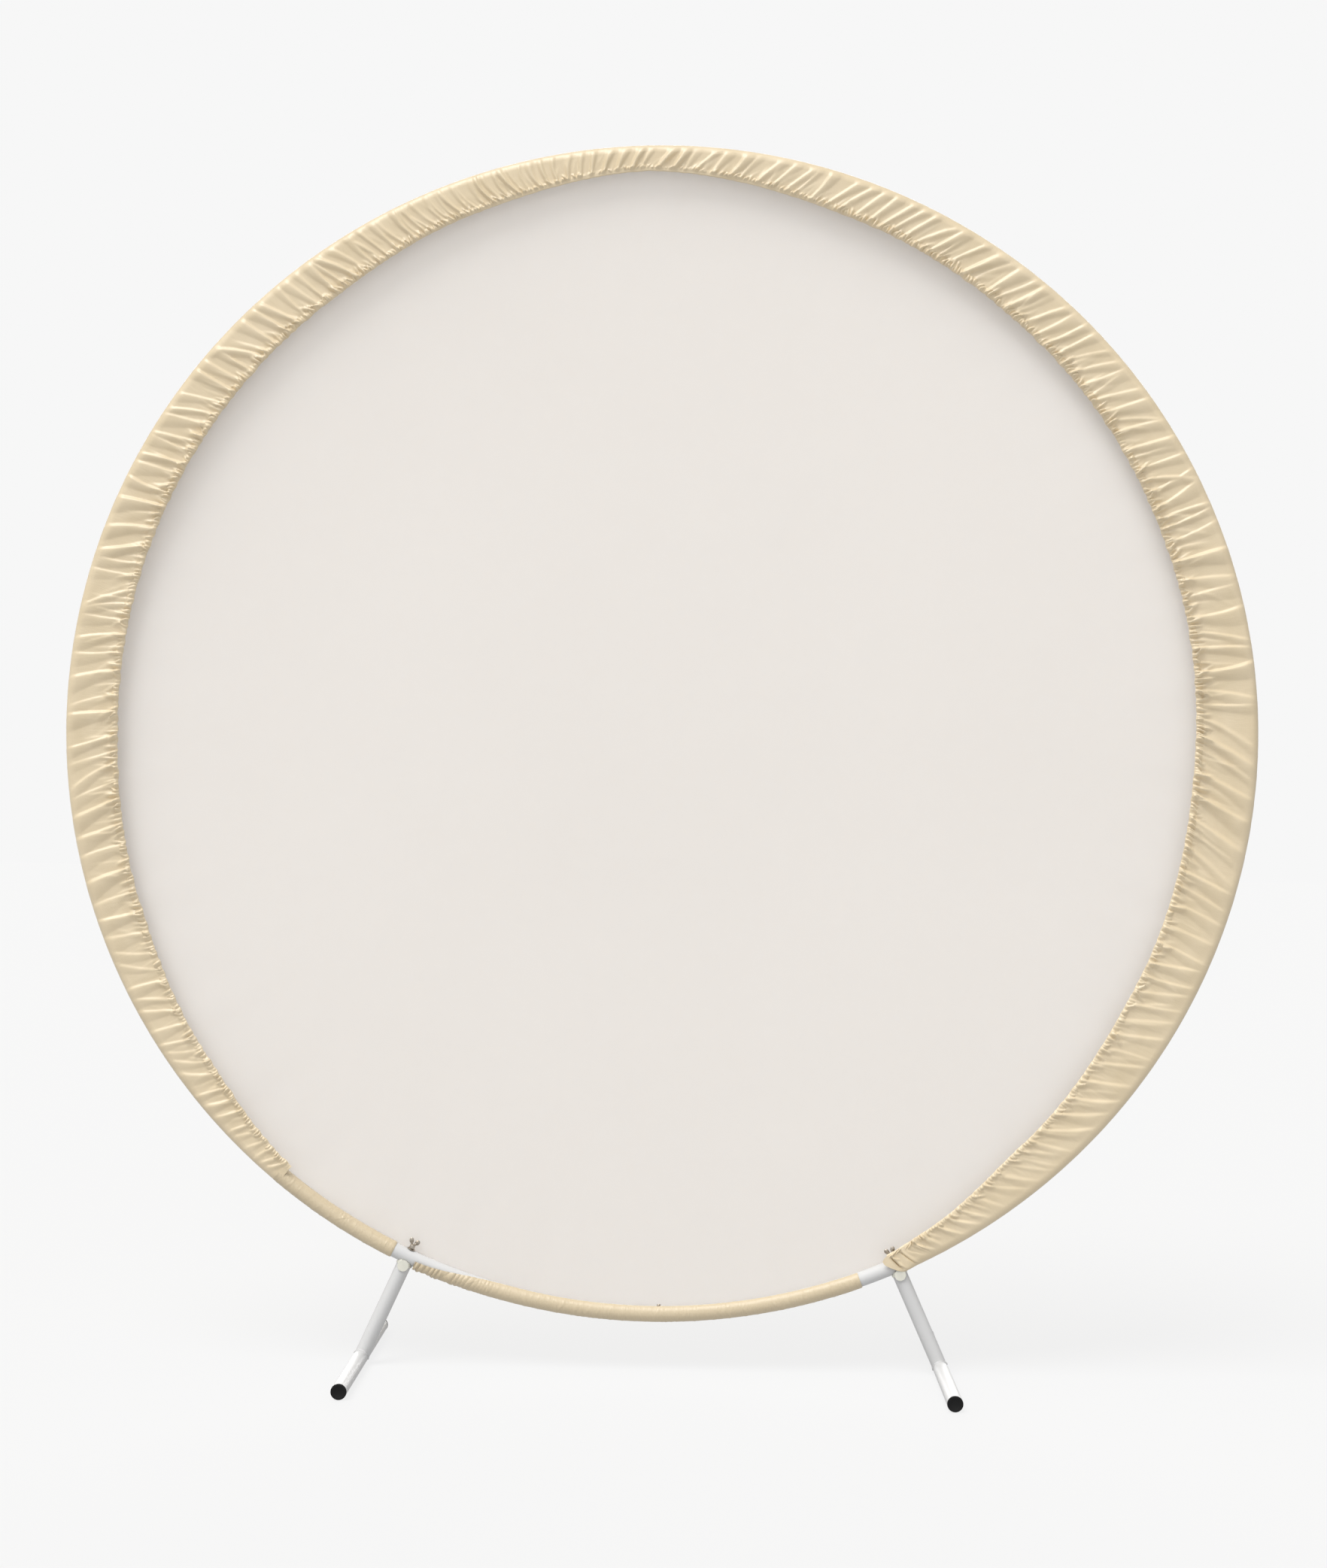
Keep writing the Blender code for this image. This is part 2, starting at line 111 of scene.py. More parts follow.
# How far a fold's outer end leans towards a larger ring angle, as a share of its length
FOLD_LEAN = (
    (24, 0.9), (47, 0.7), (62, 0.36), (70, -0.12), (80, -0.45), (88, -0.53), (97, -0.1),
    (115, -0.1), (133, -0.5), (150, -0.65), (165, -0.75), (182, -0.75), (187, -0.35), (190, 0.1),
    (193, 0.75), (203, 0.75), (212, 0.45), (225, 0.3), (270, 0.3), (281, 0.15), (291, -0.12),
    (298, -0.45), (321, -0.5),
)
# How much the folds curve back again on their way out
FOLD_BEND = ((24, 0), (189, 0), (193, -0.5), (203, -0.45), (213, 0), (321, 0))
# Distance between the main folds, in mm
FOLD_SPACING = (
    (24, 20), (45, 31), (65, 37), (90, 36), (115, 29), (140, 26), (165, 23), (178, 24),
    (186, 18), (196, 14), (206, 15), (220, 25), (245, 33), (275, 36), (300, 30), (321, 20),
)
# Where the folds die away towards the outer edge, as a turn round the tube from its rear
FOLD_END = ((24, -1.3), (70, -1.1), (95, -0.5), (300, -0.4), (321, -0.6))
# How tall the folds are, against what each kind of fold gives
FOLD_HEIGHT = (
    (24, 1.2), (34, 0.8), (50, 0.55), (72, 0.65), (95, 1.1), (165, 1.1), (188, 1.3), (192, 1.7),
    (204, 1.7), (215, 1.2), (245, 1.1), (262, 0.75), (300, 0.65), (321, 0.9),
)
# Bells over the ring angle (height, middle, half width, power): where the folds near the top
# lean over as they do at the side, and where they start further from the hem
TOP_SKEW = (0.5, 172, 14, 2)
PLAIN_TOP = (0.8, 182, 18, 4)
# The right end's outline: how far it sets back, in degrees, at distances from the tube's rear
END_OUTLINE = (
    (-26, 1.05), (-22, 0.4), (-17.5, 0.1), (-10.7, 0.2), (-4, 0.55), (4, 1.0), (13, 1.6), (21, 2.1),
)
# Deep creases beside the right end: (angle, reach in mm) at both ends, and depth in mm
END_CREASES = (
    ((24.25, -22), (24.95, 9), 4.6), ((25.1, -30), (26.5, 14), 2.4), ((26.4, -36), (28.2, 4), 1.3),
)

# Colours, linear
SATIN = (0.735, 0.610, 0.415)
SATIN_LIGHT = (0.780, 0.655, 0.460)
SATIN_DARK = (0.690, 0.565, 0.370)
REVERSE = (0.655, 0.615, 0.580)
POWDER_COAT = (0.65, 0.65, 0.65)
STEEL = (0.50, 0.44, 0.36)
STEEL_DARK = (0.26, 0.20, 0.14)
STEEL_LIGHT = (0.60, 0.56, 0.50)
BLACK = (0.008, 0.008, 0.008)
IVORY = (0.78, 0.77, 0.68)
ELASTIC = (0.84, 0.82, 0.76)
PAPER = (0.10, 0.10, 0.10)

# Brightness of surroundings and paper: as light on the object, and as the camera sees them
SURROUND_LIGHT, SURROUND_SEEN = 0.42, 0.93
PAPER_LIGHT, PAPER_SEEN = 0.50, 0.80

# Camera, from a fit of the ring, feet and bolts
LENS, SENSOR = 56.11, 36
EYE = (0.0831, -4.1236, 0.9521)
YAW, PITCH, ROLL = math.radians(1.046), math.radians(90.487), math.radians(0.886)


# Ring geometry --------------------------------------------------------------------------------


def ring(angle):
    """x, z and outward normal of the ring's centreline at ring angles in degrees."""
    turn = np.radians(angle)
    x, z = HALF_WIDTH * np.sin(turn), RING_HEIGHT - HALF_HEIGHT * np.cos(turn)
    out_x, out_z = HALF_HEIGHT * np.sin(turn), -HALF_WIDTH * np.cos(turn)
    size = np.hypot(out_x, out_z)
    return x, z, out_x / size, out_z / size


def run_along(angles):
    """Distance along the ring's centreline at each of the angles, from the first of them."""
    x, z, _, _ = ring(angles)
    return np.concatenate([[0], np.cumsum(np.hypot(np.diff(x), np.diff(z)))])


def eased(angles, table):
    """Values between the (angle, value) points of a table, rounded a little at each point."""
    places, values = np.array(table, float).T
    step = np.clip(np.searchsorted(places, angles, side="right") - 1, 0, len(places) - 2)
    part = np.clip((angles - places[step]) / (places[step + 1] - places[step]), 0, 1)
    part = 0.5 * part + 0.5 * smooth(part)
    return values[step] + (values[step + 1] - values[step]) * part


def smooth(part):
    part = np.clip(part, 0, 1)
    return part * part * (3 - 2 * part)


def bell(angle, height, middle, half_width, power):
    return height * math.exp(-(((angle - middle) / half_width) ** power))


def clamp_matrix(side):
    """Frame at a clamp: +Z outwards along the leg, +Y as the world's."""
    x, z, out_x, out_z = (float(v) for v in ring(np.float64(side * CLAMP_ANGLE)))
    across, up, out = Vector((out_z, 0, -out_x)), Vector((0, 1, 0)), Vector((out_x, 0, out_z))
    turn = Matrix((across, up, out)).transposed().to_4x4()
    return Matrix.Translation((x, 0, z)) @ turn


def leg_reach(side):
    """Distance from the ring's centreline to the floor tube's axis."""
    low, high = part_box("left_floor_tube" if side < 0 else "right_floor_tube")
    return (clamp_matrix(side).inverted() @ ((low + high) / 2)).z


# Materials ------------------------------------------------------------------------------------


class Look:
    """A material and the few node chains that the finishes share."""

    def __init__(self, name, colour, roughness, metallic=0.0, **sockets):
        self.material = bpy.data.materials.new(name)
        self.material.use_nodes = True
        self.tree = self.material.node_tree
        self.shader = self.tree.nodes["Principled BSDF"]
        self.put(self.shader, "Base Color", (*colour, 1))
        self.put(self.shader, "Roughness", roughness)
        self.put(self.shader, "Metallic", metallic)
        for socket, value in sockets.items():
            self.put(self.shader, socket.replace("_", " "), value)

    def put(self, node, socket, value):
        if isinstance(value, bpy.types.NodeSocket):
            self.tree.links.new(value, node.inputs[socket])
        else:
            node.inputs[socket].default_value = value

    def node(self, kind, output, settings=(), **inputs):
        made = self.tree.nodes.new("ShaderNode" + kind)
        for name, value in dict(settings).items():
            setattr(made, name, value)
        for socket, value in inputs.items():
            index = int(socket[1:]) if socket[0] == "i" and socket[1:].isdigit() else None
            self.put(made, socket.replace("_", " ") if index is None else index, value)
        return made.outputs[output]

    def place(self, stretch, source="Object"):
        where = self.node("TexCoord", source)
        return self.node("Mapping", "Vector", Vector=where, Scale=stretch)

    def noise(self, stretch, scale, detail=3.0, source="Object", roughness=0.5):
        where = self.place(stretch, source)
        return self.node(
            "TexNoise", "Fac", Vector=where, Scale=scale, Detail=detail, Roughness=roughness
        )

    def spread(self, value, low, high):
        return self.node("MapRange", "Result", i0=value, i1=0.0, i2=1.0, i3=low, i4=high)

    def blend(self, share, first, second):
        ramp = self.tree.nodes.new("ShaderNodeValToRGB")
        ramp.color_ramp.elements[0].color = (*first, 1)
        ramp.color_ramp.elements[0].position = 0.25
        ramp.color_ramp.elements[1].color = (*second, 1)
        ramp.color_ramp.elements[1].position = 0.75
        self.put(ramp, "Fac", share)
        return ramp.outputs["Color"]

    def bump(self, height, distance, strength=1.0, under=None):
        made = self.tree.nodes.new("ShaderNodeBump")
        self.put(made, "Height", height)
        self.put(made, "Distance", distance)
        self.put(made, "Strength", strength)
        if under is not None:
            self.put(made, "Normal", under)
        return made.outputs["Normal"]


def weave(look):
    """Height of a fine plain weave: two crossed sets of threads."""
    where = look.place((1, 1, 1), "UV")
    threads = []
    for way in ("X", "Y"):
        threads.append(look.node(
            "TexWave", "Fac", {"bands_direction": way}, Vector=where, Scale=1 / WEAVE_PITCH / 20,
            Distortion=0.4,
        ))
    return look.node("Math", 0, {"operation": "MULTIPLY"}, i0=threads[0], i1=threads[1])


def satin_look(name, wrinkle=0.25, slub=0.5, tone=1.0, crossing=(170, 45, 1)):
    """Champagne satin: soft sheen, fine weave and small creases that run across the band."""
    look = Look(
        name, SATIN, 0.4, Sheen_Weight=0.3, Sheen_Roughness=0.4, Specular_IOR_Level=0.7
    )
    broad = look.noise((9, 22, 1), 1.0, 3, "UV")
    slubs = look.noise((260, 900, 1), 1.0, 2, "UV", 0.6)
    mixed = look.node("Mix", 0, i0=slub * 0.5, i2=broad, i3=slubs)
    # tone scales both colours; below 1 it paints shade into the cloth's colour
    dark, light = (tuple(tone * c for c in colour) for colour in (SATIN_DARK, SATIN_LIGHT))
    look.put(look.shader, "Base Color", look.blend(mixed, dark, light))
    look.put(look.shader, "Sheen Tint", (1.0, 0.93, 0.80, 1))
    look.put(look.shader, "Roughness", look.spread(broad, 0.33, 0.45))
    creases = look.noise(crossing, 1.0, 4, "UV", 0.55)
    threads = look.bump(weave(look), 0.08 * MM, 0.5)
    look.put(look.shader, "Normal", look.bump(creases, wrinkle * MM, 0.9, threads))
    return look.material


def reverse_look():
    """Matt off-white back of the satin, stretched flat, with a faint weave."""
    look = Look("satin_reverse", REVERSE, 0.75, Sheen_Weight=0.15, Specular_IOR_Level=0.25)
    look.put(look.shader, "Subsurface Weight", 0.8)
    look.put(look.shader, "Subsurface Scale", 4 * MM)
    look.put(look.shader, "Subsurface Radius", (1.0, 0.92, 0.85))
    broad = look.noise((1.6, 1.6, 1.6), 1.0, 2)
    pale = tuple(min(1.0, 1.018 * c) for c in REVERSE)
    dull = tuple(0.982 * c for c in REVERSE)
    look.put(look.shader, "Base Color", look.blend(broad, dull, pale))
    threads = look.bump(weave(look), 0.05 * MM, 0.4)
    drawn = look.noise((60, 60, 60), 1.0, 3)
    look.put(look.shader, "Normal", look.bump(drawn, 0.1 * MM, 0.4, threads))
    return look.material


def powder_coat_look():
    look = Look("powder_coat", POWDER_COAT, 0.4, Specular_IOR_Level=0.12)
    broad = look.noise((7, 7, 7), 1.0, 3)
    dull = tuple(0.965 * c for c in POWDER_COAT)
    look.put(look.shader, "Base Color", look.blend(broad, dull, POWDER_COAT))
    look.put(look.shader, "Roughness", look.spread(broad, 0.34, 0.46))
    peel = look.noise((1, 1, 1), 700, 2)
    look.put(look.shader, "Normal", look.bump(peel, 0.02 * MM, 0.1))
    return look.material


def steel_look():
    look = Look("zinc_plate", STEEL, 0.34, 1.0)
    stain = look.noise((1, 1, 1), 180, 4)
    look.put(look.shader, "Base Color", look.blend(stain, STEEL_DARK, STEEL_LIGHT))
    look.put(look.shader, "Roughness", look.spread(stain, 0.24, 0.46))
    grain = look.noise((1, 1, 1), 1800, 2)
    look.put(look.shader, "Normal", look.bump(grain, 0.05 * MM, 0.4))
    return look.material


def moulded_look(name, colour, roughness, shine=0.45):
    look = Look(name, colour, roughness, Specular_IOR_Level=shine)
    cloud = look.noise((1, 1, 1), 60, 3)
    dull = tuple(0.86 * c for c in colour)
    look.put(look.shader, "Base Color", look.blend(cloud, dull, colour))
    look.put(look.shader, "Roughness", look.spread(cloud, roughness - 0.06, roughness + 0.08))
    grain = look.noise((1, 1, 1), 1400, 2)
    look.put(look.shader, "Normal", look.bump(grain, 0.06 * MM, 0.5))
    return look.material


def elastic_look():
    look = Look("woven_elastic", ELASTIC, 0.7, Sheen_Weight=0.2)
    ribs = look.node(
        "TexWave", "Fac", {"bands_direction": "X"}, Vector=look.place((1, 1, 1)), Scale=60.0
    )
    cream = tuple(0.8 * c for c in ELASTIC)
    look.put(look.shader, "Base Color", look.blend(ribs, cream, ELASTIC))
    look.put(look.shader, "Normal", look.bump(ribs, 0.3 * MM, 0.6))
    return look.material


# Modelling helpers ----------------------------------------------------------------------------


def deselect():
    for other in bpy.context.selected_objects:
        other.select_set(False)


def named(name, look):
    """The active object, under its name and with its material."""
    piece = bpy.context.object
    piece.name = piece.data.name = name
    piece.data.materials.clear()
    piece.data.materials.append(look)
    return piece


def select_only(piece):
    deselect()
    piece.select_set(True)
    bpy.context.view_layer.objects.active = piece


def settle(piece, matrix=None):
    """Puts a piece in its place, leaves its object at the origin and shades it smooth."""
    select_only(piece)
    if matrix is not None:
        piece.matrix_world = matrix @ piece.matrix_world
    bpy.ops.object.transform_apply(location=True, rotation=True, scale=True)
    bpy.ops.object.shade_smooth_by_angle(angle=SMOOTH_ANGLE)
    return piece


def pick_faces(piece, test):
    """Leaves a piece in edit mode with only the faces selected that the test wants."""
    select_only(piece)
    bpy.ops.object.mode_set(mode="EDIT")
    bpy.ops.mesh.select_mode(type="FACE")
    bpy.ops.mesh.select_all(action="DESELECT")
    bpy.ops.object.mode_set(mode="OBJECT")
    for face in piece.data.polygons:
        face.select = test(face)
    bpy.ops.object.mode_set(mode="EDIT")


def finish_modifier(piece, kind, **settings):
    select_only(piece)
    modifier = piece.modifiers.new(kind.lower(), kind)
    for name, value in settings.items():
        setattr(modifier, name, value)
    bpy.ops.object.modifier_apply(modifier=modifier.name)
    return piece


def cut(piece, cutter, operation="DIFFERENCE"):
    finish_modifier(piece, "BOOLEAN", object=cutter, operation=operation, solver="EXACT")
    bpy.data.objects.remove(cutter)
    return piece


def upright_cylinder(name, radius, low, high, look, sides=48, open_ends=False):
    """A cylinder along Z from low to high, modelled at the origin."""
    deselect()
    bpy.ops.mesh.primitive_cylinder_add(
        vertices=sides, radius=radius, depth=high - low, location=(0, 0, (high + low) / 2),
        end_fill_type="NOTHING" if open_ends else "NGON",
    )
    piece = named(name, look)
    bpy.ops.object.transform_apply(location=True, rotation=True, scale=True)
    return piece


def along_y(height):
    """Turns what was modelled along Z to lie along Y, at a height on the local Z axis."""
    return Matrix.Translation((0, 0, height)) @ Matrix.Rotation(math.radians(90), 4, "X")


def wall(piece, thickness):
    """Gives an open shell its wall, inwards."""
    return finish_modifier(piece, "SOLIDIFY", thickness=thickness, offset=-1, use_even_offset=True)


def soften(piece, width, segments=2, angle=40):
    return finish_modifier(
        piece, "BEVEL", width=width, segments=segments, limit_method="ANGLE",
        angle_limit=math.radians(angle),
    )


# Frame pieces ---------------------------------------------------------------------------------


def ring_section(number, look):
    """One of the ring's eight bent tubes: a circle spun through 45 degrees, then given a wall."""
    deselect()
    bpy.ops.mesh.primitive_circle_add(
        vertices=36, radius=TUBE_RADIUS, location=(0, 0, -HALF_WIDTH),
        rotation=(0, math.radians(90), 0),
    )
    piece = named(f"bent_tube_{number}", look)
    bpy.ops.object.transform_apply(location=True, rotation=True, scale=True)
    trim = math.degrees(GAP / 2 / HALF_WIDTH)
    bpy.ops.object.mode_set(mode="EDIT")
    bpy.ops.mesh.select_all(action="SELECT")
    bpy.ops.mesh.spin(
        steps=36, angle=math.radians(SECTION_ANGLE - 2 * trim), center=(0, 0, 0), axis=(0, 1, 0)
    )
    bpy.ops.mesh.select_all(action="SELECT")
    bpy.ops.mesh.normals_make_consistent(inside=False)
    bpy.ops.object.mode_set(mode="OBJECT")
    wall(piece, TUBE_WALL)
    turn = -math.radians(SECTION_ANGLE * (number - 1) + trim)
    settle(piece, Matrix.Rotation(turn, 4, "Y"))
    oval = Matrix.Diagonal((1, 1, HALF_HEIGHT / HALF_WIDTH, 1))
    settle(piece, Matrix.Translation((0, 0, RING_HEIGHT)) @ oval)
    button_low, button_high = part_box(f"lock_button_{number}")
    button = (button_low + button_high) / 2
    across = Vector((button.x, 0, button.z - RING_HEIGHT))
    drill = upright_cylinder("drill", BOLT_RADIUS + 2 * GAP, -0.02, 0.012, look, 24)
    turn = across.to_track_quat("-Z", "Y").to_matrix().to_4x4()
    settle(drill, Matrix.Translation(button) @ turn)
    cut(piece, drill)
    if number in (1, SECTION_COUNT):
        bolt_hole = upright_cylinder("drill", BOLT_RADIUS + GAP, -0.03, 0.03, look, 24)
        settle(bolt_hole, clamp_matrix(1 if number == 1 else -1))
        cut(piece, bolt_hole)
    settle(piece)
    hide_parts(f"ring_section_{number}")
    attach(piece, "frame_and_cover")


def leg_tube(side, name, look):
    """The leg's tube, coped to sit on the floor tube."""
    reach = leg_reach(side)
    piece = upright_cylinder(f"{name}_leg", TUBE_RADIUS, LEG_TOP, reach, look, 64, open_ends=True)
    wall(piece, TUBE_WALL)
    cope = upright_cylinder("cope", TUBE_RADIUS + GAP, -0.04, 0.04, look, 96)
    settle(cope, along_y(reach))
    cut(piece, cope)
    settle(piece, clamp_matrix(side))
    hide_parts(f"{name}_leg_tube")
    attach(piece, f"{name}_foot")


def weld_bead(side, name, look):
    """The bead of weld where the leg meets the floor tube, under the paint."""
    reach = leg_reach(side)
    steps = 120
    turns = [2 * math.pi * k / steps for k in range(steps)]
    curve = bpy.data.curves.new("weld", "CURVE")
    curve.dimensions = "3D"
    curve.bevel_depth = WELD_RADIUS
    curve.bevel_resolution = 3
    line = curve.splines.new("POLY")
    line.points.add(steps - 1)
    line.use_cyclic_u = True
    for point, turn in zip(line.points, turns):
        along = reach - TUBE_RADIUS * max(abs(math.sin(turn)), 0.08)
        offset = TUBE_RADIUS * (1 + 0.012 * math.sin(WELD_RIPPLES * turn))
        point.co = (offset * math.cos(turn), offset * math.sin(turn), along - 0.3 * MM, 1)
        point.radius = 1 + 0.12 * math.sin(WELD_RIPPLES * turn + 1)
    piece = bpy.data.objects.new("weld", curve)
    bpy.context.scene.collection.objects.link(piece)
    select_only(piece)
    bpy.ops.object.convert(target="MESH")
    piece = named(f"{name}_weld_bead", look)
    settle(piece, clamp_matrix(side))
    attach(piece, f"{name}_foot")


def floor_tube(name, look):
    low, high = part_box(f"{name}_floor_tube")
    middle = (low + high) / 2
    half = (high.y - low.y) / 2
    piece = upright_cylinder(f"{name}_foot_tube", TUBE_RADIUS, -half, half, look, 64, True)
    wall(piece, FLOOR_TUBE_WALL)
    settle(piece, Matrix.Translation((middle.x, 0, middle.z)) @ along_y(0))
    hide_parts(f"{name}_floor_tube")
    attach(piece, f"{name}_foot")


def end_cap(name, end, look):
    """Push-in cap: a rounded disc with a flat pad below, and a ribbed plug inside the tube."""
    node = f"{name}_{end}_cap"
    low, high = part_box(node)
    tube_low, tube_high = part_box(f"{name}_floor_tube")
    way = -1 if end == "back" else 1
    face = low.y if way < 0 else high.y
    rim = tube_low.y - GAP if way < 0 else tube_high.y + GAP
    thickness = abs(face - rim)
    radius = (high.x - low.x) / 2
    piece = upright_cylinder(f"{name}_{end}_end_cap", radius, 0, thickness, look, 64)
    soften(piece, 0.9 * MM, 4)
    pick_faces(piece, lambda f: f.normal.z > 0.99)
    bpy.ops.mesh.inset(thickness=2.6 * MM)
    bpy.ops.mesh.inset(thickness=0.5 * MM, depth=-0.35 * MM)
    pick_faces(piece, lambda f: f.normal.z < -0.99)
    bpy.ops.mesh.inset(thickness=radius - TUBE_RADIUS + FLOOR_TUBE_WALL + 2 * GAP)
    for rib in range(4):
        bpy.ops.mesh.extrude_region_move(TRANSFORM_OT_translate={"value": (0, 0, -3.2 * MM)})
        bpy.ops.transform.resize(value=(0.96, 0.96, 1) if rib % 2 == 0 else (1 / 0.96, 1 / 0.96, 1))
    bpy.ops.object.mode_set(mode="OBJECT")
    middle = (tube_low + tube_high) / 2
    turn = Matrix.Rotation(math.radians(90 if way < 0 else -90), 4, "X")
    settle(piece, Matrix.Translation((middle.x, rim, middle.z)) @ turn)
    bpy.ops.object.mode_set(mode="EDIT")
    bpy.ops.mesh.select_all(action="SELECT")
    bpy.ops.mesh.bisect(
        plane_co=(0, 0, low.z), plane_no=(0, 0, -1), clear_outer=True, use_fill=True
    )
    bpy.ops.object.mode_set(mode="OBJECT")
    settle(piece)
    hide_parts(node)
    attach(piece, f"{name}_foot")


def saddle(side, name, look):
    """Plastic seat between ring and leg: hollowed block, collar in the leg and two round cheeks."""
    low, high = SADDLE_TOP, LEG_TOP - GAP
    piece = upright_cylinder(f"{name}_clamp_seat", SADDLE_RADIUS, low, high, look, 64)
    collar_radius = TUBE_RADIUS - TUBE_WALL - 2 * GAP
    collar = upright_cylinder("collar", collar_radius, LEG_TOP - MM, COLLAR_END, look, 48)
    cut(piece, collar, "UNION")
    cut(piece, upright_cylinder("bore", BOLT_RADIUS + GAP, 0, BOLT_END, look, 24))
    middle = TUBE_RADIUS + 3 * GAP + CHEEK_THICKNESS / 2
    for way in (-1, 1):
        half = CHEEK_THICKNESS / 2
        cheek = upright_cylinder("cheek", CHEEK_RADIUS, -half, half, look, 48)
        settle(cheek, Matrix.Translation((0, way * middle, 0)) @ along_y(CHEEK_CENTRE))
        cut(piece, cheek, "UNION")
    seat = upright_cylinder("seat", TUBE_RADIUS + 2 * GAP, -0.03, 0.03, look, 64)
    settle(seat, Matrix.Rotation(math.radians(90), 4, "Y"))
    cut(piece, seat)
    soften(piece, 0.35 * MM, 2, 50)
    settle(piece, clamp_matrix(side))
    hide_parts(f"{name}_saddle")
    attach(piece, "frame_and_cover")


def washer(side, name, look):
    top = -(TUBE_RADIUS + 2 * GAP)
    bottom = top - WASHER_THICKNESS
    piece = upright_cylinder(f"{name}_flat_washer", WASHER_RADIUS, bottom, top, look)
    bore = upright_cylinder("bore", BOLT_RADIUS + GAP, 3 * top, 0, look, 32)
    cut(piece, bore)
    soften(piece, 0.25 * MM, 2)
    settle(piece, clamp_matrix(side))
    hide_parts(f"{name}_bolt_washer")
    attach(piece, f"{name}_washer")


def wing(way, base, look):
    """One wing: a flat rounded lobe on a neck, leaning away from the shank."""
    turn = Matrix.Rotation(way * math.radians(WING_LEAN), 4, "Y")
    lean = Matrix.Translation((0, 0, base - 3 * MM)) @ turn
    parts = []
    for distance, sizes in WING_LOBES:
        deselect()
        bpy.ops.mesh.primitive_uv_sphere_add(segments=32, ring_count=16, radius=MM)
        parts.append(named("wing", look))
        settle(parts[-1], Matrix.Diagonal((*sizes, 1)))
        settle(parts[-1], lean @ Matrix.Translation((0, 0, -distance * MM)))
    cut(parts[1], parts[0], "UNION")
    return parts[1]


def wing_bolt(side, name, look):
    """Wing bolt: hub with two wings, and a threaded shank that passes through ring and plug."""
    base = -(TUBE_RADIUS + 3 * GAP + WASHER_THICKNESS)
    piece = upright_cylinder(f"{name}_wing_screw", HUB_RADIUS, base - HUB_HEIGHT, base, look, 48)
    pick_faces(piece, lambda f: f.normal.z < -0.9)
    bpy.ops.transform.resize(value=(0.82, 0.82, 1))
    bpy.ops.object.mode_set(mode="OBJECT")
    soften(piece, 0.7 * MM, 3)
    for way in (-1, 1):
        cut(piece, wing(way, base, look), "UNION")
    cut(piece, threaded_shank(base), "UNION")
    settle(piece, clamp_matrix(side))
    piece.data.materials.clear()
    piece.data.materials.append(look)
    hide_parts(f"{name}_wing_bolt")
    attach(piece, f"{name}_bolt")


def threaded_shank(base):
    """A shank with grooves one pitch apart, turned from its profile."""
    bottom = BOLT_RADIUS - THREAD_DEPTH
    count = int((BOLT_END - base - 2 * MM) / THREAD_PITCH)
    profile = [(0, base - MM), (BOLT_RADIUS, base - MM)]
    for k in range(count):
        start = base + k * THREAD_PITCH
        profile.append((BOLT_RADIUS, start + 0.25 * THREAD_PITCH))
        profile.append((bottom, start + 0.75 * THREAD_PITCH))
    profile += [(bottom, BOLT_END - 0.8 * MM), (bottom - THREAD_DEPTH, BOLT_END)]
    profile += [(0, BOLT_END)]
    mesh = bpy.data.meshes.new("shank")
    edges = [(k, k + 1) for k in range(len(profile) - 1)]
    mesh.from_pydata([(r, 0, z) for r, z in profile], edges, [])
    piece = bpy.data.objects.new("shank", mesh)
    bpy.context.scene.collection.objects.link(piece)
    select_only(piece)
    bpy.ops.object.mode_set(mode="EDIT")
    bpy.ops.mesh.select_all(action="SELECT")
    bpy.ops.mesh.spin(steps=24, angle=2 * math.pi, center=(0, 0, 0), axis=(0, 0, 1))
    bpy.ops.mesh.select_all(action="SELECT")
    bpy.ops.mesh.remove_doubles(threshold=0.01 * MM)
    bpy.ops.mesh.normals_make_consistent(inside=False)
    bpy.ops.object.mode_set(mode="OBJECT")
    return piece


# Cover ----------------------------------------------------------------------------------------


def band_width(angles):
    """Width of the rear band from the cover's outline to its hem, in metres."""
    return MM * eased(angles, BAND_WIDTHS)


def wrapped(reach):
    """Offset outwards, y, and the surface's normal (outwards, y) at a distance round the cloth.

    reach runs from the tube's rear tangent: negative towards the hem, and positive round the
    tube's outer side to its front.
    """
    turn = np.clip(reach / CLOTH_RADIUS, 0, math.pi)
    out = CLOTH_RADIUS * np.sin(turn) + np.minimum(reach, 0)
    y = -CLOTH_RADIUS * np.cos(turn)
    return out, y, np.sin(turn), -np.cos(turn)


def ridge(offset, steep_side):
    """Height of a fold at an offset from its crest: steep on one side, long and full on the other.

    steep_side runs from -1 to 1; at 0 both sides are alike.
    """
    reach = np.where(offset > 0, 0.44 - 0.3 * steep_side, 0.44 + 0.3 * steep_side)
    return np.cos(math.pi / 2 * np.clip(np.abs(offset) / reach, 0, 1))


